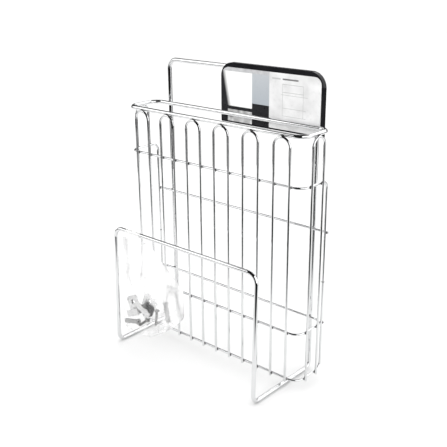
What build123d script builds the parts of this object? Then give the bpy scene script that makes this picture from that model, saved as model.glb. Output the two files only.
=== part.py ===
from build123d import *
import os

# Magazine rack of bright wire: a tall narrow basket welded to the back hoop of a floor stand.
# Millimetres, +Z up, +Y to the back, origin on the floor under the middle of the stand.

# ---- driving dimensions ----
thin_wire = 3.0  # diameter of the basket wire
heavy_wire = 5.0  # diameter of the rim and of the stand

stand_width = 231.6  # between the wire centres of the two uprights
stand_depth = 110.0  # front hoop to back hoop, along the floor
front_hoop_height = 161.5  # height of the low hoop's top wire
back_hoop_height = 362.0  # height of the tall hoop's top wire
front_hoop_lean = 4.9  # how far the low hoop leans back at its top
hoop_bend = 12.0  # bend radius of the hoops' upper corners
foot_bend = 9.0  # bend radius where an upright turns into a floor runner

leg_pitch = 22.0  # between neighbouring legs of the basket front
front_hairpins = 6
basket_width = 272.6  # between the side wires of the basket rings
basket_depth = 47.0  # front wire of the rings to the rear verticals
ring_bend = 12.0  # corner radius of the rings, seen from above
side_leg_gap = 21.0  # between the two legs of a side hairpin
side_leg_shift = 1.0  # side hairpins stand this far behind the middle of the sides

rim_height = 306.5
upper_loop_height = 249.5
crossbar_height = 187.0
butt_weld_height = 126.0  # where the upper and lower side loops meet, end to end
middle_ring_height = 72.5
lower_loop_height = 11.5
leg_overhang = 2.5  # legs reach this far below the lower loop's centre

sleeve_width = 148.7
sleeve_centre_x = 49.85
sleeve_bottom = 295.0
sleeve_wall = 0.4
sleeve_edge = 2.5  # solid edge round the top and the two sides of the sleeve
sleeve_left_corner = 17.0
sleeve_right_corner = 18.0
sleeve_inner_depth = 5.2
wire_clearance = 0.1  # round the wire where it leaves the sleeve's left edge
card_width = 145.4
card_height = 64.5
card_thickness = 0.35
card_bottom = 297.0
card_centre_x = 49.0
card_left_corner = 12.0
card_right_corner = 9.0

bag_left = -110.0
bag_width = 112.0
bag_bottom = 22.0
bag_top = 152.0
bag_shoulder = 108.0  # height where the slanted right shoulder begins
bag_mouth_width = 56.0
bag_base_width = 48.0  # the lower right corner is turned up from here
bag_hip = 74.0  # to here on the right edge
bag_fat = 14.6  # front to back where the fixings lie
bag_flat = 1.6  # front to back at the mouth
bag_flat_height = 18.0  # the flat part below the mouth
bag_belly_height = 30.0  # the full thickness lasts this far up
bag_corner = 8.0
film = 0.4  # thickness of the bag's film
tape_width = 24.0
tape_thickness = 0.3
tape_length = 16.0  # tail on the bag, below its mouth

hook_width = 22.0
hook_height = 26.0
hook_plate = 1.6
hook_reach = 5.2  # clear depth of the hook, for the back hoop's wire
hook_lip = 9.0
hook_corner = 5.0
screw_length = 24.0
screw_diameter = 3.6
screw_head = 7.0
screw_tip = 5.0
screw_recess = 1.4
plug_length = 25.0
plug_diameter = 6.0
plug_collar = 8.0
plug_collar_height = 1.2
plug_bore = 3.0
plug_slot = 0.9

# ---- places worked out from them ----
thin_radius = thin_wire / 2
heavy_radius = heavy_wire / 2
upright_x = stand_width / 2
front_y = -stand_depth / 2
back_y = stand_depth / 2
front_top_y = front_y + front_hoop_lean
crossbar_y = back_y - heavy_radius - thin_radius
vertical_y = crossbar_y - thin_wire
ring_front_y = vertical_y - basket_depth
leg_y = ring_front_y - thin_wire
ring_x = basket_width / 2
side_leg_x = ring_x + thin_wire
leg_bottom = lower_loop_height - leg_overhang
sleeve_front_y = back_y - sleeve_inner_depth / 2 - sleeve_wall
rim_back_y = sleeve_front_y - card_thickness - heavy_radius - 0.1  # just clear of the card
rim_front_y = ring_front_y
# a hairpin's crown touches the rim from below and outside
crown_drop = ((heavy_radius + thin_radius) ** 2 - thin_wire**2) ** 0.5
crown_height = rim_height - crown_drop

os.makedirs("parts", exist_ok=True)


def write(part, label):
    """Label a finished piece and write it as its own STEP file."""
    part.label = label
    export_step(part, f"parts/{label}.step")


def start_plane(line):
    """The plane square to a wire's first end."""
    return Plane(origin=line @ 0, z_dir=line % 0)


# ---- stand: one heavy wire bent into a front hoop, two floor runners and a back hoop ----
stand_corners = [
    (0, back_y, back_hoop_height),
    (upright_x, back_y, back_hoop_height),
    (upright_x, back_y, heavy_radius),
    (upright_x, front_y, heavy_radius),
    (upright_x, front_top_y, front_hoop_height),
    (0, front_top_y, front_hoop_height),
]
with BuildPart() as stand_wire:
    with BuildLine() as stand_half:
        FilletPolyline(*stand_corners, radius=[hoop_bend, foot_bend, foot_bend, hoop_bend])
    with BuildSketch(start_plane(stand_half.line)):
        Circle(heavy_radius)
    sweep()
    mirror(about=Plane.YZ)
write(stand_wire.part, "stand_wire")

# ---- rim: closed heavy ring round the basket's mouth ----
with BuildPart() as rim_ring:
    with BuildLine() as rim_half:
        FilletPolyline(
            (0, rim_back_y, rim_height),
            (ring_x, rim_back_y, rim_height),
            (ring_x, rim_front_y, rim_height),
            (0, rim_front_y, rim_height),
            radius=ring_bend,
        )
    with BuildSketch(start_plane(rim_half.line)):
        Circle(heavy_radius)
    sweep()
    mirror(about=Plane.YZ)
write(rim_ring.part, "rim_ring")


# ---- side loops: each runs round front and sides, then turns up or down as the rear verticals ----
def side_loop_corners(height):
    """Half of a side loop: front middle, front corner, rear corner, end of the vertical."""
    return [
        (0, ring_front_y, height),
        (ring_x, ring_front_y, height),
        (ring_x, vertical_y, height),
        (ring_x, vertical_y, butt_weld_height),
    ]


with BuildPart() as upper_loop:
    with BuildLine() as upper_half:
        FilletPolyline(*side_loop_corners(upper_loop_height), radius=[ring_bend, foot_bend])
    with BuildSketch(start_plane(upper_half.line)):
        Circle(thin_radius)
    sweep()
    mirror(about=Plane.YZ)
write(upper_loop.part, "upper_loop")

with BuildPart() as lower_loop:
    with BuildLine() as lower_half:
        FilletPolyline(*side_loop_corners(lower_loop_height), radius=[ring_bend, foot_bend])
    with BuildSketch(start_plane(lower_half.line)):
        Circle(thin_radius)
    sweep()
    mirror(about=Plane.YZ)
write(lower_loop.part, "lower_loop")

# ---- middle ring: closed thin ring, its rear wire behind the rear verticals ----
with BuildPart() as middle_ring:
    with BuildLine() as middle_half:
        FilletPolyline(
            (0, crossbar_y, middle_ring_height),
            (ring_x, crossbar_y, middle_ring_height),
            (ring_x, ring_front_y, middle_ring_height),
            (0, ring_front_y, middle_ring_height),
            radius=ring_bend,
        )
    with BuildSketch(start_plane(middle_half.line)):
        Circle(thin_radius)
    sweep()
    mirror(about=Plane.YZ)
write(middle_ring.part, "middle_ring")

# ---- rear crossbar: straight wire between the rear verticals and the back hoop ----
with BuildPart() as rear_crossbar:
    with BuildSketch(Plane.YZ):
        with Locations((crossbar_y, crossbar_height)):
            Circle(thin_radius)
    extrude(amount=ring_x + thin_wire, both=True)
write(rear_crossbar.part, "rear_crossbar")

# ---- front hairpins: six inverted U wires welded outside the rings ----
for index in range(front_hairpins):
    centre_x = (index - (front_hairpins - 1) / 2) * 2 * leg_pitch
    crown_radius = leg_pitch / 2
    with BuildPart() as front_hairpin:
        with BuildLine() as bent_wire:
            left_leg = Line(
                (centre_x - crown_radius, leg_y, leg_bottom),
                (centre_x - crown_radius, leg_y, crown_height - crown_radius),
            )
            crown = ThreePointArc(
                left_leg @ 1,
                (centre_x, leg_y, crown_height),
                (centre_x + crown_radius, leg_y, crown_height - crown_radius),
            )
            Line(crown @ 1, (centre_x + crown_radius, leg_y, leg_bottom))
        with BuildSketch(start_plane(bent_wire.line)):
            Circle(thin_radius)
        sweep()
    write(front_hairpin.part, f"front_hairpin_{index + 1}")

# ---- side hairpins: one on each side, outside the rings ----
side_leg_y = (ring_front_y + vertical_y) / 2 + side_leg_shift
for side, side_name in ((-1, "left"), (1, "right")):
    wire_x = side * side_leg_x
    crown_radius = side_leg_gap / 2
    with BuildPart() as side_hairpin:
        with BuildLine() as bent_wire:
            front_leg = Line(
                (wire_x, side_leg_y - crown_radius, leg_bottom),
                (wire_x, side_leg_y - crown_radius, crown_height - crown_radius),
            )
            crown = ThreePointArc(
                front_leg @ 1,
                (wire_x, side_leg_y, crown_height),
                (wire_x, side_leg_y + crown_radius, crown_height - crown_radius),
            )
            Line(crown @ 1, (wire_x, side_leg_y + crown_radius, leg_bottom))
        with BuildSketch(start_plane(bent_wire.line)):
            Circle(thin_radius)
        sweep()
    write(side_hairpin.part, f"side_hairpin_{side_name}")

# ---- header sleeve: flat black pocket hung over the back hoop's top wire, open below ----
sleeve_depth = sleeve_inner_depth + 2 * sleeve_wall
sleeve_cavity_top = back_hoop_height + heavy_radius
sleeve_top = sleeve_cavity_top + sleeve_edge
sleeve_height = sleeve_top - sleeve_bottom


def round_top(left_radius, right_radius):
    """Round the two top corners of the rectangle in the sketch being drawn."""
    fillet(vertices().group_by(Axis.Y)[-1].sort_by(Axis.X)[0], radius=left_radius)
    fillet(vertices().group_by(Axis.Y)[-1].sort_by(Axis.X)[-1], radius=right_radius)


with BuildPart() as header_sleeve:
    with BuildSketch(Plane.XZ.offset(-sleeve_front_y)):
        with Locations((sleeve_centre_x, sleeve_bottom + sleeve_height / 2)):
            Rectangle(sleeve_width, sleeve_height)
        round_top(sleeve_left_corner, sleeve_right_corner)
    extrude(amount=-sleeve_depth)
    with BuildSketch(Plane.XZ.offset(-sleeve_front_y - sleeve_wall)):
        with Locations((sleeve_centre_x, (sleeve_bottom + sleeve_cavity_top) / 2)):
            Rectangle(sleeve_width - 2 * sleeve_edge, sleeve_cavity_top - sleeve_bottom)
        round_top(sleeve_left_corner - sleeve_edge, sleeve_right_corner - sleeve_edge)
    extrude(amount=-sleeve_inner_depth, mode=Mode.SUBTRACT)
    with BuildSketch(Plane.YZ.offset(sleeve_centre_x - sleeve_width / 2)):
        with Locations((back_y, back_hoop_height)):
            Circle(heavy_radius + wire_clearance)
    extrude(amount=sleeve_width / 2, mode=Mode.SUBTRACT)
write(header_sleeve.part, "header_sleeve")

# ---- header card: printed card glued to the front of the sleeve ----
with BuildPart() as header_card:
    with BuildSketch(Plane.XZ.offset(-sleeve_front_y)):
        with Locations((card_centre_x, card_bottom + card_height / 2)):
            Rectangle(card_width, card_height)
        round_top(card_left_corner, card_right_corner)
    extrude(amount=card_thickness)
write(header_card.part, "header_card")

# ---- fixings bag: clear film pouch, fat at the bottom, flat at its open mouth ----
mouth_y = front_top_y
belly_y = front_top_y + 1.0


def pouch(inset):
    """The bag's outer shape drawn in by an inset; drawn in, it runs out through the mouth."""
    belly = bag_fat / 2 - inset
    mouth = bag_flat / 2 - inset
    belly_start = bag_bottom + bag_fat / 2
    belly_end = belly_start + bag_belly_height
    flat_start = bag_top - bag_flat_height
    left = bag_left + inset
    right = bag_left + bag_width - inset
    with BuildPart() as shape:
        with BuildSketch(Plane.YZ.offset(left)):
            with BuildLine():
                front = Polyline(
                    (mouth_y - mouth, bag_top),
                    (mouth_y - mouth, flat_start),
                    (belly_y - belly, belly_end),
                    (belly_y - belly, belly_start),
                )
                bottom = ThreePointArc(
                    front @ 1,
                    (belly_y, belly_start - belly),
                    (belly_y + belly, belly_start),
                )
                Polyline(
                    bottom @ 1,
                    (belly_y + belly, belly_end),
                    (mouth_y + mouth, flat_start),
                    (mouth_y + mouth, bag_top),
                    front @ 0,
                )
            make_face()
        extrude(amount=right - left)
        with BuildSketch(Plane.XZ):
            with BuildLine():
                Polyline(
                    (left, bag_bottom),
                    (bag_left + bag_base_width - inset, bag_bottom),
                    (right, bag_hip + inset),
                    (right, bag_shoulder - inset),
                    (bag_left + bag_mouth_width - inset, bag_top),
                    (left, bag_top),
                    close=True,
                )
            make_face()
            outer_corners = vertices().group_by(Axis.Y)[0]
            fillet(outer_corners, radius=bag_corner)
        extrude(amount=stand_depth, both=True, mode=Mode.INTERSECT)
    return shape.part


bag_outside = pouch(0)
bag_inside = pouch(film)
with BuildPart() as fixings_bag:
    add(bag_outside)
    add(bag_inside, mode=Mode.SUBTRACT)
write(fixings_bag.part, "fixings_bag")

# ---- bag tape: clear strip folded over the front hoop's top wire, its tails holding the mouth ----
tape_radius = heavy_radius + tape_thickness
tail_y = bag_flat / 2 + tape_thickness / 2
with BuildPart() as bag_tape:
    with BuildSketch(Plane.YZ.offset(bag_left + (bag_mouth_width - tape_width) / 2)):
        with BuildLine():
            front_tail = Polyline(
                (mouth_y - tail_y, bag_top - tape_length),
                (mouth_y - tail_y, bag_top),
                (mouth_y - tape_radius, front_hoop_height),
            )
            fold = ThreePointArc(
                front_tail @ 1,
                (mouth_y, front_hoop_height + tape_radius),
                (mouth_y + tape_radius, front_hoop_height),
            )
            Polyline(
                fold @ 1,
                (mouth_y + tail_y, bag_top),
                (mouth_y + tail_y, bag_top - tape_length),
            )
        trace(line_width=tape_thickness)
    extrude(amount=tape_width)
write(bag_tape.part, "bag_tape")

# ---- wall hooks: bent steel plates that the back hoop can hang from, lying in the bag ----
hook_depth = hook_reach + 2 * hook_plate
with BuildPart() as wall_hook:
    with BuildSketch(Plane.YZ.offset(-hook_width / 2)):
        with Locations((hook_depth / 2 - hook_plate / 2, 0)):
            Rectangle(hook_plate, hook_height)
        with Locations((0, -hook_height / 2 + hook_plate / 2)):
            Rectangle(hook_depth, hook_plate)
        with Locations((-hook_depth / 2 + hook_plate / 2, -hook_height / 2 + hook_lip / 2)):
            Rectangle(hook_plate, hook_lip)
    extrude(amount=hook_width)
    plate_face = faces().sort_by(Axis.Y)[-1]
    plate_corners = edges().filter_by(Axis.Y).group_by(Axis.Z)[-1]
    fillet(plate_corners, radius=hook_corner)
    with Locations(Location((0, hook_depth / 2 - hook_plate, hook_height / 6), (90, 0, 0))):
        CounterSinkHole(radius=screw_diameter / 2 + 0.3, counter_sink_radius=screw_head / 2)

hook_places = {
    "wall_hook_1": Location((-92, belly_y, 58), (0, -24, 0)),
    "wall_hook_2": Location((-64, belly_y, 68), (0, 24, 0)),
}
for label, place in hook_places.items():
    write(wall_hook.part.moved(place), label)

# ---- wall screws: countersunk, with a cross recess, lying in the bag ----
head_height = (screw_head - screw_diameter) / 2
with BuildPart() as wall_screw:
    with BuildSketch(Plane.XZ):
        with BuildLine():
            Polyline(
                (0, 0),
                (screw_head / 2, 0),
                (screw_head / 2, -0.4),
                (screw_diameter / 2, -0.4 - head_height),
                (screw_diameter / 2, screw_tip - screw_length),
                (0, -screw_length),
                close=True,
            )
        make_face()
    revolve(axis=Axis.Z)
    with BuildSketch():
        Rectangle(screw_head * 0.6, 1)
        Rectangle(1, screw_head * 0.6)
    extrude(amount=-screw_recess, mode=Mode.SUBTRACT)

screw_places = [
    Location((-46, belly_y, 66), (0, 8, 0)),
    Location((-64, belly_y, 47), (0, 50, 0)),
]
with BuildPart() as wall_screws:
    with Locations(*screw_places):
        add(wall_screw.part)
write(wall_screws.part, "wall_screws")

# ---- wall plugs: split plastic plugs with a collar, lying in the bag ----
with BuildPart() as wall_plug:
    Cylinder(plug_diameter / 2, plug_length)
    top_face = faces().sort_by(Axis.Z)[-1]
    with BuildSketch(top_face):
        Circle(plug_collar / 2)
    extrude(amount=-plug_collar_height)
    Hole(plug_bore / 2)
    with BuildSketch(Plane.XY.offset(-plug_length / 2)):
        Rectangle(plug_diameter * 2, plug_slot)
    extrude(amount=plug_length * 0.6, mode=Mode.SUBTRACT)

plug_places = [
    Location((-94, belly_y, 35), (0, 76, 0)),
    Location((-28, belly_y, 69), (0, -8, 0)),
]
with BuildPart() as wall_plugs:
    with Locations(*plug_places):
        add(wall_plug.part)
write(wall_plugs.part, "wall_plugs")
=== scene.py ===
# %% [markdown]
# # A bright wire magazine rack, with its header tag and its bag of fixings
#
# The real rack is a tall narrow basket of thin chromed wire, welded to the back hoop of a
# floor stand that is bent from one heavier wire. A black header tag hangs over the back hoop,
# and a clear bag with the wall fixings is taped to the front hoop. The frame that is loaded
# here already has every wire in its place. This lesson gives the wires their plating, adds the
# welds that hold them together, prints the tag, and blows the bag up from two sheets of film.

# %% Load the frame
import math

import bmesh
import bpy
from mathutils import Matrix, Vector, noise


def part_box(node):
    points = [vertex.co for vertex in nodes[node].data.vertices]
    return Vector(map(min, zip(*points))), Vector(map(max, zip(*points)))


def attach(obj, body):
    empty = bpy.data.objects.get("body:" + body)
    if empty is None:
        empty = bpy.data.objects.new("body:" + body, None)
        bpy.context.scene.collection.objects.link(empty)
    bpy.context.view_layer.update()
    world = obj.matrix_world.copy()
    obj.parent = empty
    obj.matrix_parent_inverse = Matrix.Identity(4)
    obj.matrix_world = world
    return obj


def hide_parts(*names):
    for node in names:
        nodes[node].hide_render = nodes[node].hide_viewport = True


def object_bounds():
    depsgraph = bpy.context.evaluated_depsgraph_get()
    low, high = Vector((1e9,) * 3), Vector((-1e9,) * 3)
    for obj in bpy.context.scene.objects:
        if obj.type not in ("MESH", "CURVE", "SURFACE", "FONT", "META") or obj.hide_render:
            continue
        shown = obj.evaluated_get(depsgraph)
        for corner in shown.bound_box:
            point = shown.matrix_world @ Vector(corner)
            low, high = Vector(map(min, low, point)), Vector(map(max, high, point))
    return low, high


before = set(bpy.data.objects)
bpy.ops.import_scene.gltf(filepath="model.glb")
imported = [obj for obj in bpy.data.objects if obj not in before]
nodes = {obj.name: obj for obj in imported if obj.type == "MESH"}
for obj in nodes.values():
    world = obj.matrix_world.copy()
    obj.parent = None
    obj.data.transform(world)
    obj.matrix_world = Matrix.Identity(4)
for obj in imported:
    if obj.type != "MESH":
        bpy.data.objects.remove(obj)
cad_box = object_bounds()
print("the frame has", len(nodes), "pieces")

# %% Measure the pieces that everything else is placed from
low, high = (Vector(corner) for corner in cad_box)
middle = (low + high) / 2
height = high.z - low.z
mm = 0.001
stand_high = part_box("stand_wire")[1]
rim_low, rim_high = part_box("rim_ring")
bag_low, bag_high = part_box("fixings_bag")
card_low, card_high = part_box("header_card")
print("the rack stands", round(height * 1000), "mm high")

# %% [markdown]
# ## The viewpoint
#
# A product is usually shown a little from one side and from above, through a lens of about
# twice the normal length, so that upright wires stay almost parallel. The camera's axes are
# built from a turn, a drop and a small roll, which is easier to adjust than three Euler angles.

# %% Set up the camera
turn = math.radians(41.65)
drop = math.radians(19.87)
roll = math.radians(-0.44)
level_right = Vector((math.cos(turn), math.sin(turn), 0))
level_forward = Vector((-math.sin(turn), math.cos(turn), 0))
forward = level_forward * math.cos(drop) - Vector((0, 0, math.sin(drop)))
level_up = level_right.cross(forward)
right = level_right * math.cos(roll) + level_up * math.sin(roll)
up = level_up * math.cos(roll) - level_right * math.sin(roll)

eye = middle + Vector((0.5818, -0.6279, 0.3054))
lens = bpy.data.cameras.new("product_lens")
lens.sensor_width = 36
lens.lens = 60.2
camera = bpy.data.objects.new("product_camera", lens)
axes = Matrix((right, up, -forward)).transposed()
camera.matrix_world = Matrix.Translation(eye) @ axes.to_4x4()
bpy.context.scene.collection.objects.link(camera)
bpy.context.scene.camera = camera
print("the eye is", round((eye - middle).length, 2), "m from the middle of the rack")

# %% [markdown]
# ## A white table and a bright room
#
# Chrome has no colour of its own: it shows the room. On a white table in a white room bright
# wire all but disappears, so a studio keeps dark things round the edge of the set, and the
# wire draws itself as a dark line between two white ones.
#
# Every finish in this lesson is a node material, and most of them vary with fine noise. A few
# helpers say in one line what would take five: a noise, a stretched value, a mixed colour.

# %% Helpers for finishes
def start_finish(name):
    """A new node material: the material, its nodes, its links and its shader."""
    material = bpy.data.materials.new(name)
    material.use_nodes = True
    tree = material.node_tree
    return material, tree.nodes, tree.links, tree.nodes["Principled BSDF"]


def place_of(tree_nodes):
    """The socket that gives a point's place in metres."""
    return tree_nodes.new("ShaderNodeTexCoord").outputs["Object"]


def grain(tree_nodes, links, scale, detail=3.0):
    """A noise texture of that many grains to the metre; returns its value."""
    texture = tree_nodes.new("ShaderNodeTexNoise")
    texture.inputs["Scale"].default_value = scale
    texture.inputs["Detail"].default_value = detail
    links.new(place_of(tree_nodes), texture.inputs["Vector"])
    return texture.outputs["Fac"]


def spread(tree_nodes, links, value, lowest, highest):
    """Stretch a value that runs from 0.3 to 0.7 over lowest to highest."""
    mapper = tree_nodes.new("ShaderNodeMapRange")
    mapper.inputs["From Min"].default_value = 0.3
    mapper.inputs["From Max"].default_value = 0.7
    mapper.inputs["To Min"].default_value = lowest
    mapper.inputs["To Max"].default_value = highest
    links.new(value, mapper.inputs["Value"])
    return mapper.outputs["Result"]


def between(tree_nodes, links, factor, first, second):
    """A colour that goes from first to second as factor goes from 0 to 1."""
    mixer = tree_nodes.new("ShaderNodeMix")
    mixer.data_type = "RGBA"
    colour_sockets = [socket for socket in mixer.inputs if socket.type == "RGBA"]
    for value, socket in zip((first, second), colour_sockets):
        if isinstance(value, tuple):
            socket.default_value = (*value, 1)
        else:
            links.new(value, socket)
    links.new(factor, mixer.inputs["Factor"])
    return next(socket for socket in mixer.outputs if socket.type == "RGBA")


def raise_surface(tree_nodes, links, shader, value, strength, distance):
    """Bump the surface by a value; distance is in metres."""
    bump = tree_nodes.new("ShaderNodeBump")
    bump.inputs["Strength"].default_value = strength
    bump.inputs["Distance"].default_value = distance
    links.new(value, bump.inputs["Height"])
    links.new(bump.outputs["Normal"], shader.inputs["Normal"])


def show(mesh, name):
    """Link a finished mesh into the scene as an object of that name."""
    thing = bpy.data.objects.new(name, mesh)
    bpy.context.scene.collection.objects.link(thing)
    return thing


# %% [markdown]
# ## The table
#
# The rack stands on a sheet of pale laminate. It could be a small table top with a backdrop
# behind it, but one very large sheet has no edge to hide. It is a middling grey in itself: the
# bright room makes it white, and its faint cloudiness keeps it from looking painted.

# %% The table top
def flat_panel(name, corners):
    """A flat sheet from its corners, in order."""
    mesh = bpy.data.meshes.new(name)
    mesh.from_pydata([tuple(c) for c in corners], [], [tuple(range(len(corners)))])
    return show(mesh, name)


def square(half, z):
    """The corners of a level square round the middle."""
    return [(-half, -half, z), (half, -half, z), (half, half, z), (-half, half, z)]


reach = 14.0
table_tone = (0.61, 0.61, 0.61)
table = flat_panel("table_top", square(reach, 0))
laminate, tn, tl, ts = start_finish("white_laminate")
tl.new(between(tn, tl, grain(tn, tl, 6.0), table_tone, (0.62, 0.62, 0.62)), ts.inputs["Base Color"])
ts.inputs["Roughness"].default_value = 0.75
ts.inputs["Specular IOR Level"].default_value = 0.2
table.data.materials.append(laminate)
print("the table reaches", reach, "m each way")

# %% [markdown]
# ## Light
#
# Small things are often shown in a tent of white cloth, which lights them from every side. A
# plain bright world does the same. One weak soft box above and behind adds the faint shadow
# that sets the rack down on the table.

# %% Light from all sides
room = bpy.data.worlds.new("bright_room")
room.use_nodes = True
room.node_tree.nodes["Background"].inputs["Color"].default_value = (1.0, 1.0, 1.0, 1)
room.node_tree.nodes["Background"].inputs["Strength"].default_value = 1.8
bpy.context.scene.world = room
bpy.context.scene.view_settings.view_transform = "Standard"


def soft_box(name, place, aim, size, power):
    """A square area light, turned to face a point."""
    lamp = bpy.data.lights.new(name, "AREA")
    lamp.size = size
    lamp.energy = power
    holder = bpy.data.objects.new(name, lamp)
    holder.location = place
    holder.rotation_euler = (Vector(aim) - Vector(place)).to_track_quat("-Z", "Y").to_euler()
    bpy.context.scene.collection.objects.link(holder)
    return holder


soft_box("soft_box_overhead", (-0.35, 0.25, 1.6), middle, 1.2, 6)

# %% [markdown]
# ## The dark things that draw the wire
#
# Black cards stand round the set where only the chrome can see them. One lies on the table
# where the white sheet ends, in front of the rack: an upright wire looks down at it, so the
# upper part of each wire has a dark core and the lower part fades to white. It darkens
# gradually, as a sheet does where it curves away. One more card stands behind the camera, for
# the bends of the corners.

# %% Black card
card_black, bn, bl, bs = start_finish("black_card")
felt = between(bn, bl, grain(bn, bl, 40.0), (0.010, 0.010, 0.010), (0.016, 0.016, 0.016))
bl.new(felt, bs.inputs["Base Color"])
bs.inputs["Roughness"].default_value = 0.9
bs.inputs["Specular IOR Level"].default_value = 0.0


def only_in_reflections(card, finish):
    """Hide a card from everything except the reflections that chrome shows."""
    card.data.materials.append(finish)
    card.visible_camera = False
    card.visible_diffuse = False
    card.visible_shadow = False
    card.visible_transmission = False


def polar(angle, distance, z):
    """A point round the rack; the angle is in degrees, anticlockwise from the right."""
    a = math.radians(angle)
    return (math.cos(a) * distance, math.sin(a) * distance, z)


# %% The end of the white sheet
edge_distance = 0.215  # where the white sheet begins to darken
edge_width = 0.16  # how far the darkening takes
half_width, straight_end = 0.57, 0.6  # the card is this wide, to this distance
far_half_width, far_end = 3.3, 3.5  # then it widens to this
outward = -level_forward
lift = Vector((0, 0, 1 * mm))
right_side = [(far_end, far_half_width), (straight_end, half_width), (edge_distance, half_width)]
left_side = [(out, -aside) for out, aside in reversed(right_side)]
table_end = flat_panel(
    "card_on_table",
    [outward * out + level_right * aside + lift for out, aside in left_side + right_side],
)
graded_card, hn, hl, hs = start_finish("graded_card")
along = hn.new("ShaderNodeVectorMath")
along.operation = "DOT_PRODUCT"
hl.new(place_of(hn), along.inputs[0])
along.inputs[1].default_value = outward
grade = hn.new("ShaderNodeMapRange")
grade.interpolation_type = "SMOOTHSTEP"
grade.inputs["From Min"].default_value = edge_distance
grade.inputs["From Max"].default_value = edge_distance + edge_width
hl.new(along.outputs["Value"], grade.inputs["Value"])
hl.new(between(hn, hl, grade.outputs["Result"], table_tone, (0.008, 0.008, 0.008)), hs.inputs["Base Color"])
hs.inputs["Roughness"].default_value = 0.9
hs.inputs["Specular IOR Level"].default_value = 0.0
only_in_reflections(table_end, graded_card)


# %% A card behind the camera
def bent_card(name, start, end, first, second, steps=24):
    """A card bent round the rack between two angles; first and second are (radius, height)."""
    points = []
    for i in range(steps + 1):
        angle = start + (end - start) * i / steps
        points.append(polar(angle, *first))
        points.append(polar(angle, *second))
    faces = [(2 * i, 2 * i + 1, 2 * i + 3, 2 * i + 2) for i in range(steps)]
    mesh = bpy.data.meshes.new(name)
    mesh.from_pydata(points, [], faces)
    return show(mesh, name)


camera_side = math.degrees(math.atan2(outward.y, outward.x))
left_front = camera_side - 76  # a level wire's bright middle looks just past this angle
behind_camera = bent_card("card_behind_camera", left_front, camera_side + 6, (1.3, 0.0), (1.3, 5.0))
only_in_reflections(behind_camera, card_black)
print("the camera looks from", round(camera_side), "degrees")

# %% [markdown]
# ## Lines along the level wires
#
# A level wire looks up and down, not round: its middle shows the left front of the room, its
# top the left back, and its underside the table. Those places get dark cards of their own, so
# that each level wire has a thin line along its top and another below its middle. A card over
# everything blackens the bends, and a ring on the table does the same for the back of the rack.

# %% A grey band far behind
band_grey, gn, gl, gs = start_finish("grey_band")
band_tone = between(gn, gl, grain(gn, gl, 2.0), (0.10, 0.10, 0.10), (0.13, 0.13, 0.13))
gl.new(band_tone, gs.inputs["Base Color"])
gs.inputs["Roughness"].default_value = 0.9
far_band = bent_card("band_far_behind", camera_side + 120, camera_side + 240, (4.0, 0.25), (4.0, 1.9))
only_in_reflections(far_band, band_grey)

# %% Black cards at the left, overhead and on the table behind
behind_left = bent_card("card_behind_left", 127, 192, (1.6, 0.8), (1.6, 2.4))
low_strip = bent_card("strip_front_left", 196, left_front + 360, (1.3, 0.0), (1.3, 0.28))
overhead = flat_panel("card_overhead", square(1.0, 1.5))
ring_behind = bent_card("ring_behind", camera_side + 95, left_front + 360, (0.9, 1 * mm), (5.0, 1 * mm))
for card in (behind_left, low_strip, overhead, ring_behind):
    only_in_reflections(card, card_black)
print("6 black cards and 1 grey band stand round the set")

# %% [markdown]
# ## Bright plating
#
# The wires are mild steel, drawn, bent, welded and then plated with nickel and a very thin
# layer of chromium. The plating is a mirror with a slight grey-blue tint. It follows the drawn
# wire under it, so it has fine lengthwise ripples and a few duller places. A metal shader with
# low roughness gives the mirror, and two sizes of noise vary the roughness and the height.

# %% The plating
def bright_plating(name, dull, ripple):
    """Chromium on drawn wire; dull is its roughest, ripple the height of its waves in metres."""
    material, tn, tl, ts = start_finish(name)
    cloud = grain(tn, tl, 90.0)
    tl.new(between(tn, tl, cloud, (0.70, 0.705, 0.71), (0.77, 0.775, 0.78)), ts.inputs["Base Color"])
    ts.inputs["Metallic"].default_value = 1.0
    tl.new(spread(tn, tl, grain(tn, tl, 420.0), 0.025, dull), ts.inputs["Roughness"])
    raise_surface(tn, tl, ts, grain(tn, tl, 700.0, 2.0), 0.25, ripple)
    return material


thin_plating = bright_plating("plating_thin_wire", 0.09, 0.00003)
heavy_plating = bright_plating("plating_heavy_wire", 0.07, 0.00002)


def refinish(names, finish):
    """Give CAD pieces a finish in place of the plain one they came with."""
    for name in names:
        nodes[name].data.materials.clear()
        nodes[name].data.materials.append(finish)


hairpins = sorted(name for name in nodes if "hairpin" in name)
basket_wires = ["upper_loop", "lower_loop", "middle_ring", "rear_crossbar"]
refinish(hairpins + basket_wires, thin_plating)
refinish(["stand_wire", "rim_ring"], heavy_plating)
print("plated", len(hairpins) + len(basket_wires), "thin wires and 2 heavy ones")

# %% [markdown]
# ## Welds
#
# Crossing wires are pressed together between two electrodes, and a short current melts them
# where they touch. The metal that squeezes out makes a small uneven collar round the spot. The
# collars are coloured dark as painted shade, for the shadow where the wires cross, so a weld
# shows as a dark dot. Each collar is one lumpy disc, and all of them are one piece.

# %% Where the wires touch
thin = (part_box("rear_crossbar")[1].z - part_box("rear_crossbar")[0].z) / 2
heavy = (rim_high.z - rim_low.z) / 2


def middle_of(name):
    """The middle of a piece's box."""
    lowest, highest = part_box(name)
    return (lowest + highest) / 2


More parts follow.
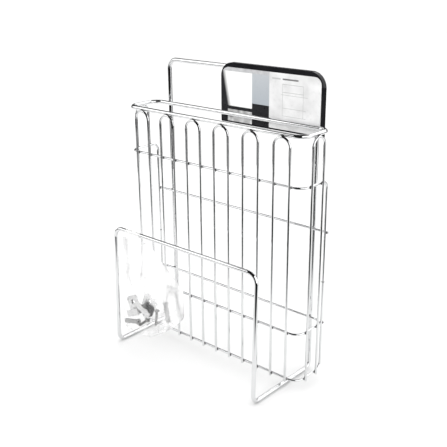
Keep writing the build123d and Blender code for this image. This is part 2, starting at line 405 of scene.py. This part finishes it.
ring_heights = [
    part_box("upper_loop")[1].z - thin,
    middle_of("middle_ring").z,
    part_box("lower_loop")[0].z + thin,
]
welds = []
for name in hairpins:
    lowest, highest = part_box(name)
    if name.startswith("front"):
        face = Vector((0, 1, 0))
        legs = [(x, highest.y) for x in (lowest.x + thin, highest.x - thin)]
    else:
        inner = highest.x if lowest.x < 0 else lowest.x
        face = Vector((1, 0, 0))
        legs = [(inner, y) for y in (lowest.y + thin, highest.y - thin)]
    welds += [(Vector((x, y, z)), face) for x, y in legs for z in ring_heights]
    crown = middle_of(name)
    crown.z = highest.z - thin
    rim_wire = Vector((crown.x, crown.y, middle_of("rim_ring").z))
    if name.startswith("front"):
        rim_wire.y = rim_low.y + heavy
    else:
        rim_wire.x = math.copysign(rim_high.x - heavy, crown.x)
    reach_out = (crown - rim_wire).normalized()
    welds.append((rim_wire + reach_out * heavy, reach_out))
print("the basket has", len(welds), "welds on its hairpins")

# %% Rear welds, and the butt welds where the two loops meet
bar = middle_of("rear_crossbar")
upright_x = stand_high.x - heavy
vertical_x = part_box("upper_loop")[1].x - thin
butt_welds = []
for side in (-1, 1):
    for z in (bar.z, middle_of("middle_ring").z):
        welds.append((Vector((side * upright_x, bar.y + thin, z)), Vector((0, 1, 0))))
        welds.append((Vector((side * vertical_x, bar.y - thin, z)), Vector((0, 1, 0))))
    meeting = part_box("upper_loop")[0].z
    butt_welds.append(Vector((side * vertical_x, bar.y - 2 * thin, meeting)))


def lumpy_collar(builder, place, axis, radius, thickness, seed):
    """Add one weld's collar: a ball flattened along the axis, with an uneven edge."""
    made = bmesh.ops.create_icosphere(builder, subdivisions=3, radius=1.0)["verts"]
    turn_to = axis.to_track_quat("Z", "Y").to_matrix()
    for v in made:
        lump = 1 + 0.22 * noise.noise(v.co * 1.7 + Vector((seed * 3.1, seed * 1.7, 0)))
        v.co = place + turn_to @ Vector((v.co.x * radius * lump, v.co.y * radius * lump, v.co.z * thickness))


collars = bmesh.new()
for number, (place, axis) in enumerate(welds):
    lumpy_collar(collars, place, axis, thin * 1.4, thin * 0.66, number)
for number, place in enumerate(butt_welds):
    lumpy_collar(collars, place, Vector((0, 0, 1)), thin * 1.3, thin * 0.5, number + 0.5)
weld_mesh = bpy.data.meshes.new("weld_collars")
collars.to_mesh(weld_mesh)
collars.free()
for face in weld_mesh.polygons:
    face.use_smooth = True
weld_collars = show(weld_mesh, "weld_collars")
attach(weld_collars, "root")
print("made", len(welds) + len(butt_welds), "weld collars")

# %% The dark metal of a weld, painted shade where the wires cross
weld_painted_shade_metal, wn, wl, ws = start_finish("weld_painted_shade_metal")
# Painted shade: the collars' dark tone stands in for the shadow where the wires cross.
weld_shade_tone = between(wn, wl, grain(wn, wl, 800.0), (0.05, 0.049, 0.048), (0.13, 0.128, 0.126))
wl.new(weld_shade_tone, ws.inputs["Base Color"])
ws.inputs["Metallic"].default_value = 1.0
wl.new(spread(wn, wl, grain(wn, wl, 1200.0), 0.28, 0.5), ws.inputs["Roughness"])
raise_surface(wn, wl, ws, grain(wn, wl, 1500.0), 0.5, 0.0001)
weld_collars.data.materials.append(weld_painted_shade_metal)

# %% [markdown]
# ## The header tag
#
# The tag is a pocket of glossy black plastic that hangs on the back hoop, with a printed card
# on its front. The plastic is nearly black, with a soft sheen. Its surface waves a little, as
# a thin moulded wall does, and a weak bump of large noise says that.

# %% Black plastic
gloss_black, pn, pl, ps = start_finish("gloss_black_plastic")
soot = between(pn, pl, grain(pn, pl, 60.0), (0.006, 0.006, 0.007), (0.014, 0.014, 0.016))
pl.new(soot, ps.inputs["Base Color"])
pl.new(spread(pn, pl, grain(pn, pl, 160.0), 0.08, 0.2), ps.inputs["Roughness"])
ps.inputs["Specular IOR Level"].default_value = 0.14
raise_surface(pn, pl, ps, grain(pn, pl, 45.0, 1.0), 0.2, 0.0004)
refinish(["header_sleeve"], gloss_black)

# %% [markdown]
# ## The print on the card, and the light painted on it
#
# The print has a white field inside a black border, a blue-grey strip that ends in black, and
# a second, duller field with a pale diagram and two bars in place of lettering. Over the print
# lies painted light: a painted reflection of the clear film along the top, a painted highlight
# at the foot of the first field, and painted shade and sheen of the wrinkled film on the second.
# A picture could be wrapped on the card. Here the print is painted by comparing a point's place
# with the edges of each field, so it stays sharp at any distance.

# %% Helpers for printing
def part_of(tree_nodes, links, axis):
    """One coordinate of a point's place, in metres."""
    splitter = tree_nodes.new("ShaderNodeSeparateXYZ")
    links.new(place_of(tree_nodes), splitter.inputs["Vector"])
    return splitter.outputs[axis]


def sums(tree_nodes, links, operation, first, second):
    """One step of arithmetic on sockets or numbers."""
    step = tree_nodes.new("ShaderNodeMath")
    step.operation = operation
    for value, socket in zip((first, second), step.inputs):
        if isinstance(value, (int, float)):
            socket.default_value = value
        else:
            links.new(value, socket)
    return step.outputs["Value"]


# %% The fields of the print
printed, cn, cl, cs = start_finish("printed_card")
card_x = part_of(cn, cl, "X")
card_z = part_of(cn, cl, "Z")
first_field_end = card_low.x + 47.9 * mm
strip_end = first_field_end + 25.6 * mm
black_line = card_high.z - 46 * mm
strip_foot = card_high.z - 39.5 * mm
film_edge = card_high.z - 4.5 * mm
foot_top = card_low.z + 14.5 * mm
beyond = 1.0  # well past any edge of the card
mottle = grain(cn, cl, 350.0)
white_ink = between(cn, cl, mottle, (0.74, 0.74, 0.735), (0.78, 0.78, 0.775))
black_ink = (0.012, 0.012, 0.014)


def ramp(value, start, end):
    """0 where a value is at start, 1 where it is at end, and a straight line between."""
    mapper = cn.new("ShaderNodeMapRange")
    mapper.inputs["From Min"].default_value = start
    mapper.inputs["From Max"].default_value = end
    cl.new(value, mapper.inputs["Value"])
    return mapper.outputs["Result"]


def field(left, right_edge, bottom, top):
    """1 inside a rectangle on the card, 0 outside."""
    within = sums(cn, cl, "GREATER_THAN", card_x, left)
    limits = [("LESS_THAN", card_x, right_edge), ("GREATER_THAN", card_z, bottom), ("LESS_THAN", card_z, top)]
    for operation, value, edge in limits:
        within = sums(cn, cl, "MULTIPLY", within, sums(cn, cl, operation, value, edge))
    return within


def cloudy_ink_and_painted_light(scale, dark, light):
    """Clouds that drift between two greys, that many to the metre: ink in part, painted light in part."""
    return between(cn, cl, spread(cn, cl, grain(cn, cl, scale), 0.0, 1.0), (dark,) * 3, (light,) * 3)


# %% Print the fields, one over the other, with the painted light laid over them
strip_ink = between(cn, cl, ramp(card_z, strip_foot, card_high.z), (0.35, 0.38, 0.41), (0.42, 0.44, 0.46))
border_lean = sums(cn, cl, "MULTIPLY", sums(cn, cl, "SUBTRACT", card_high.z - 12 * mm, card_z), 0.2)
from_border = sums(cn, cl, "SUBTRACT", card_x, card_low.x + 3 * mm)
past_border = sums(cn, cl, "SUBTRACT", from_border, border_lean)
first_ink = between(cn, cl, ramp(past_border, 0.0, 5.5 * mm), black_ink, white_ink)
# Painted reflection: a light grey band along the top of the card, where the glossy clear film reflects the
# bright room.
painted_film_reflection = between(cn, cl, grain(cn, cl, 180.0), (0.30, 0.30, 0.31), (0.56, 0.56, 0.57))
ink = between(cn, cl, field(-beyond, first_field_end, black_line, beyond), black_ink, first_ink)
for edges, over in (
    ((first_field_end, strip_end, strip_foot, beyond), strip_ink),
    # The second field's grey is its own; its clouds are painted shade and sheen of the wrinkled clear film
    # over it.
    ((strip_end, beyond, 0.0, beyond), cloudy_ink_and_painted_light(55.0, 0.56, 0.72)),
    # Painted highlight: the light band at the foot of the first field is the glossy lower edge reflecting the
    # bright room.
    ((card_low.x + 10 * mm, first_field_end, 0.0, foot_top), cloudy_ink_and_painted_light(140.0, 0.25, 0.68)),
    ((-beyond, strip_end, film_edge, beyond), painted_film_reflection),
):
    ink = between(cn, cl, field(*edges), ink, over)
print("the strip runs from", round(first_field_end, 4), "to", round(strip_end, 4))

# %% The pale diagram
pale_line = (0.36, 0.36, 0.36)
diagram_left = strip_end + 19 * mm
diagram_right = strip_end + 48 * mm
for left, right_edge, bottom, top in (
    (diagram_left, diagram_right, 349, 349.5),
    (diagram_left, diagram_right, 340, 340.5),
    (diagram_left - 2 * mm, diagram_right + 6 * mm, 337, 337.4),
    (diagram_left, diagram_right + 4 * mm, 322, 322.4),
    (diagram_left, diagram_right + 4 * mm, 313, 313.4),
    (diagram_left, diagram_left + 0.4 * mm, 313, 349),
    (diagram_right, diagram_right + 0.4 * mm, 313, 349),
):
    ink = between(cn, cl, field(left, right_edge, bottom * mm, top * mm), ink, pale_line)

# %% The two bars, and the card's surface
bar_bottom = card_high.z - 7.5 * mm
bar_top = card_high.z - 5.7 * mm
for start, length, bar_grey in ((4, 12, 0.44), (19, 22, 0.16)):
    bar_left = strip_end + start * mm
    bar = field(bar_left, bar_left + length * mm, bar_bottom, bar_top)
    ink = between(cn, cl, bar, ink, (bar_grey,) * 3)
cl.new(ink, cs.inputs["Base Color"])
cs.inputs["Specular IOR Level"].default_value = 0.25
cl.new(spread(cn, cl, grain(cn, cl, 220.0), 0.25, 0.4), cs.inputs["Roughness"])
cs.inputs["Coat Weight"].default_value = 0.1
cs.inputs["Coat Roughness"].default_value = 0.08
raise_surface(cn, cl, cs, grain(cn, cl, 60.0, 1.0), 0.15, 0.0003)
refinish(["header_card"], printed)

# %% [markdown]
# ## Steel and plastic fixings
#
# Two bent plates hook over the back hoop when the rack hangs on a wall, with two countersunk
# screws and two plugs. The plates are stamped steel with a bright zinc finish, the screws are
# darker, and the plugs are grey moulded plastic.

# %% Finishes for the fixings
def fixing_metal(name, dark, light, smooth, rough):
    """A stamped or rolled steel finish between two greys."""
    material, tn, tl, ts = start_finish(name)
    tl.new(between(tn, tl, grain(tn, tl, 300.0), dark, light), ts.inputs["Base Color"])
    ts.inputs["Metallic"].default_value = 1.0
    tl.new(spread(tn, tl, grain(tn, tl, 500.0), smooth, rough), ts.inputs["Roughness"])
    raise_surface(tn, tl, ts, grain(tn, tl, 900.0), 0.3, 0.00005)
    return material


zinc = fixing_metal("bright_zinc", (0.46, 0.46, 0.46), (0.80, 0.80, 0.80), 0.10, 0.28)
refinish(["wall_hook_1", "wall_hook_2"], zinc)
dark_steel = fixing_metal("dark_screw_steel", (0.10, 0.10, 0.10), (0.30, 0.30, 0.29), 0.2, 0.4)
plug_grey, qn, ql, qs = start_finish("grey_nylon")
ql.new(between(qn, ql, grain(qn, ql, 200.0), (0.20, 0.20, 0.20), (0.28, 0.28, 0.28)), qs.inputs["Base Color"])
qs.inputs["Roughness"].default_value = 0.5
raise_surface(qn, ql, qs, grain(qn, ql, 1200.0), 0.2, 0.00005)
refinish(["wall_plugs"], plug_grey)

# %% [markdown]
# ## The tape
#
# The bag is held by one strip of clear tape, folded over the hoop. Clear tape is seen only by
# its faint milkiness, so it is a pale plastic that is mostly transparent. Real refraction
# would cost much and change nothing in a film this thin.

# %% Clear tape
clear_tape, kn, kl, ks = start_finish("clear_tape")
kl.new(between(kn, kl, grain(kn, kl, 150.0), (0.90, 0.90, 0.89), (0.97, 0.97, 0.96)), ks.inputs["Base Color"])
kl.new(spread(kn, kl, grain(kn, kl, 250.0), 0.1, 0.3), ks.inputs["Roughness"])
ks.inputs["Alpha"].default_value = 0.3
refinish(["bag_tape"], clear_tape)

# %% [markdown]
# ## Screws with a real thread
#
# A thread is rolled: a helical ridge stands on a thinner core and runs out at the point. Each
# screw is one grid wrapped round its axis. A row's radius comes from the profile, and the ridge
# is added where the row's height and the angle agree, which winds it round without a modifier.

# %% Turn two threaded screws
screw_length = 24 * mm
screw_shaft = 1.8 * mm  # outside the thread
screw_core = 1.3 * mm
screw_head = 3.5 * mm  # radius
thread_depth = screw_shaft - screw_core
thread_pitch = 1.4 * mm
thread_end = 2.6 * mm  # below the head
cone_foot = 2.1 * mm  # below the head, where the countersunk cone meets the shaft
around = 48


def screw_profile():
    """Rows from the point to the middle of the head: radius, height below the head, thread."""
    rows = []
    steps = 170
    for i in range(steps + 1):
        z = -screw_length + (screw_length - thread_end) * i / steps
        taper = min(1.0, 0.04 + (z + screw_length) / (5 * mm))
        rows.append((screw_core * taper, z, taper))
    rows += [(screw_shaft, -cone_foot, 0), (screw_head, -0.4 * mm, 0), (screw_head, 0, 0)]
    rows += [(screw_head * (1 - i / 14), 0, 0) for i in range(1, 14)]
    return rows


def smooth_step(t):
    """0 below 0, 1 above 1, and a smooth rise between them."""
    t = min(1.0, max(0.0, t))
    return t * t * (3 - 2 * t)


def recess(x, y):
    """Depth of the cross recess at a point of the head."""
    arms = []
    for across, along in ((abs(x), abs(y)), (abs(y), abs(x))):
        within_width = smooth_step((0.75 * mm - across) / (0.3 * mm))
        within_length = smooth_step((2.2 * mm - along) / (0.3 * mm))
        arms.append(within_width * within_length)
    return 1.4 * mm * max(arms)


def turn_screw(builder, head_place, lean):
    """Add one screw to a mesh; lean is its turn about Y in degrees."""
    rotate = Matrix.Rotation(math.radians(lean), 3, "Y")
    grid = []
    for radius, z, thread in screw_profile():
        row = []
        for k in range(around):
            angle = 2 * math.pi * k / around
            phase = (z / thread_pitch - k / around) % 1.0
            ridge = max(0.0, 1 - abs(phase - 0.5) / 0.3) * thread_depth * thread
            x, y = math.cos(angle) * (radius + ridge), math.sin(angle) * (radius + ridge)
            depth = recess(x, y) if z == 0 else 0.0
            row.append(builder.verts.new(head_place + rotate @ Vector((x, y, z - depth))))
        grid.append(row)
    for lower, upper in zip(grid, grid[1:]):
        for k in range(around):
            following = (k + 1) % around
            builder.faces.new((lower[k], lower[following], upper[following], upper[k]))
    builder.faces.new(grid[0][::-1])
    builder.faces.new(grid[-1])


screws_low, screws_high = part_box("wall_screws")
screw_y = (screws_low.y + screws_high.y) / 2
upright_lean, lying_lean = 8, 50
upright_angle, lying_angle = math.radians(upright_lean), math.radians(lying_lean)
upright_head = Vector((
    screws_high.x - screw_head * math.cos(upright_angle),
    screw_y,
    screws_high.z - screw_head * math.sin(upright_angle),
))
lying_head = Vector((
    screws_low.x + screw_length * math.sin(lying_angle),
    screw_y,
    screws_low.z + screw_length * math.cos(lying_angle),
))
threads = bmesh.new()
turn_screw(threads, upright_head, upright_lean)
turn_screw(threads, lying_head, lying_lean)
screw_mesh = bpy.data.meshes.new("threaded_screws")
threads.to_mesh(screw_mesh)
threads.free()
threaded_screws = show(screw_mesh, "threaded_screws")
screw_mesh.materials.append(dark_steel)
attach(threaded_screws, "root")
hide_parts("wall_screws")
print("turned 2 screws with", len(screw_mesh.polygons), "faces")

# %% [markdown]
# ## The bag of fixings
#
# The bag is a flat pouch of thin film, sealed on three sides, so it has no shape of its own:
# the fixings push it out at the bottom, it folds where it is gathered at the tape, and the rest
# is creased like any film that has been in a box. It starts as two sheets that share their
# sealed edge. Each sheet is pushed out by the fixings, then creased by ridged noise.

# %% The bag's outline
mouth_width = 56 * mm
shoulder_z = bag_low.z + 86 * mm
base_width = 48 * mm
hip_z = bag_low.z + 52 * mm
corner = 8 * mm


def bag_edges(z):
    """The left and right edge of the bag at a height."""
    left, right_edge = bag_low.x, bag_high.x
    if z > shoulder_z:
        share = (z - shoulder_z) / (bag_high.z - shoulder_z)
        right_edge += (bag_low.x + mouth_width - bag_high.x) * share
    if z < hip_z:
        share = (hip_z - z) / (hip_z - bag_low.z)
        right_edge += (bag_low.x + base_width - bag_high.x) * share**1.4
    if z < bag_low.z + corner:
        rise = (bag_low.z + corner - z) / corner
        left += corner * (1 - math.sqrt(max(0.0, 1 - rise * rise)))
    return left, right_edge


belly_y = (bag_low.y + bag_high.y) / 2
half_thickness = (bag_high.y - bag_low.y) / 2


def fullness(u, v):
    """How far a sheet stands out from the bag's middle: 0 at the seals, most at the fixings."""
    seal = smooth_step(min(u, 1 - u) / 0.16) * smooth_step(v / 0.1)
    belly = 0.28 + 0.72 * smooth_step((0.78 - v) / 0.5)
    return half_thickness * seal * belly


def crease(point, side):
    """Sharp folds of crushed film, in metres; one pattern for each sheet."""
    shifted = point + Vector((0, side * 0.21, 0))
    large = noise.ridged_multi_fractal(shifted * 26, 1.0, 2.1, 2, 1.0, 2.0) - 1.0
    fine = noise.ridged_multi_fractal(shifted * 75, 1.0, 2.2, 2, 1.0, 2.0) - 1.0
    return 0.0011 * large + 0.00045 * fine


# %% Build the two sheets
columns, rows = 84, 110
bag_mesh = bmesh.new()
sheets = {}
for side in (-1, 1):
    grid = []
    for r in range(rows + 1):
        v = r / rows
        z = bag_low.z + (bag_high.z - bag_low.z) * v
        left, right_edge = bag_edges(z)
        line = []
        for c in range(columns + 1):
            u = c / columns
            on_seal = c in (0, columns) or r == 0
            if side == 1 and on_seal:
                line.append(sheets[-1][r][c])
                continue
            x = left + (right_edge - left) * u
            out = fullness(u, v)
            bare = Vector((x, belly_y + side * out, z))
            edge_fade = smooth_step(min(u, 1 - u) / 0.05) * smooth_step(v / 0.04)
            y = bare.y + crease(bare, side) * edge_fade * (0.4 + 0.6 * out / half_thickness)
            y = max(bag_low.y, min(bag_high.y, y))
            line.append(bag_mesh.verts.new((x, y, z)))
        grid.append(line)
    sheets[side] = grid
for side, grid in sheets.items():
    for r in range(rows):
        for c in range(columns):
            ring = [grid[r][c], grid[r][c + 1], grid[r + 1][c + 1], grid[r + 1][c]]
            bag_mesh.faces.new(ring if side == -1 else ring[::-1])
film_mesh = bpy.data.meshes.new("film_bag")
bag_mesh.to_mesh(film_mesh)
bag_mesh.free()
for face in film_mesh.polygons:
    face.use_smooth = True
film_bag = show(film_mesh, "film_bag")
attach(film_bag, "root")
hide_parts("fixings_bag")
print("the bag has", len(film_mesh.polygons), "faces")

# %% [markdown]
# ## The film
#
# Thin film is clear where it is stretched over something and milky where it is crushed. So its
# opacity is low round the fixings and rises away from them, with clouds of noise in between.
# The bag hangs from its mouth, so its folds run downwards: they are the places where a noise
# stretched upright passes through its middle value, drawn as soft grey lines of painted shade.

# %% Folds in the film, drawn as painted shade
milky_film, fn, fl, fs = start_finish("milky_film")
stretch = fn.new("ShaderNodeMapping")
stretch.inputs["Scale"].default_value = (1, 1, 0.4)
fl.new(place_of(fn), stretch.inputs["Vector"])
gathers = fn.new("ShaderNodeTexNoise")
gathers.inputs["Scale"].default_value = 34.0
gathers.inputs["Detail"].default_value = 1.5
fl.new(stretch.outputs["Vector"], gathers.inputs["Vector"])
vein = sums(fn, fl, "ABSOLUTE", sums(fn, fl, "SUBTRACT", gathers.outputs["Fac"], 0.5), 0.0)
fold_shade = fn.new("ShaderNodeMapRange")
fold_shade.inputs["From Min"].default_value = 0.0
fold_shade.inputs["From Max"].default_value = 0.1
fold_shade.inputs["To Min"].default_value = 1.0
fold_shade.inputs["To Max"].default_value = 0.0
fl.new(vein, fold_shade.inputs["Value"])
# Painted shade: along the folds the film's colour darkens to grey.
film_tone_and_fold_shade = between(fn, fl, fold_shade.outputs["Result"], (0.97, 0.97, 0.97), (0.46, 0.46, 0.46))
fl.new(film_tone_and_fold_shade, fs.inputs["Base Color"])
fl.new(spread(fn, fl, grain(fn, fl, 120.0), 0.15, 0.32), fs.inputs["Roughness"])

# %% Clear round the fixings, milky away from them
film_x = part_of(fn, fl, "X")
film_z = part_of(fn, fl, "Z")
fixings_x = bag_low.x + 33 * mm
fixings_z = bag_low.z + 32 * mm
away_x = sums(fn, fl, "DIVIDE", sums(fn, fl, "SUBTRACT", film_x, fixings_x), 0.062)
away_z = sums(fn, fl, "DIVIDE", sums(fn, fl, "SUBTRACT", film_z, fixings_z), 0.05)
away = sums(fn, fl, "ADD", sums(fn, fl, "MULTIPLY", away_x, away_x), sums(fn, fl, "MULTIPLY", away_z, away_z))
cloudy = sums(fn, fl, "ADD", away, spread(fn, fl, grain(fn, fl, 70.0), -0.45, 0.45))
veil = fn.new("ShaderNodeMapRange")
veil.interpolation_type = "SMOOTHSTEP"
veil.inputs["From Min"].default_value = 0.25
veil.inputs["From Max"].default_value = 1.0
veil.inputs["To Min"].default_value = 0.10
veil.inputs["To Max"].default_value = 0.48
fl.new(cloudy, veil.inputs["Value"])
fl.new(veil.outputs["Result"], fs.inputs["Alpha"])
film_mesh.materials.append(milky_film)
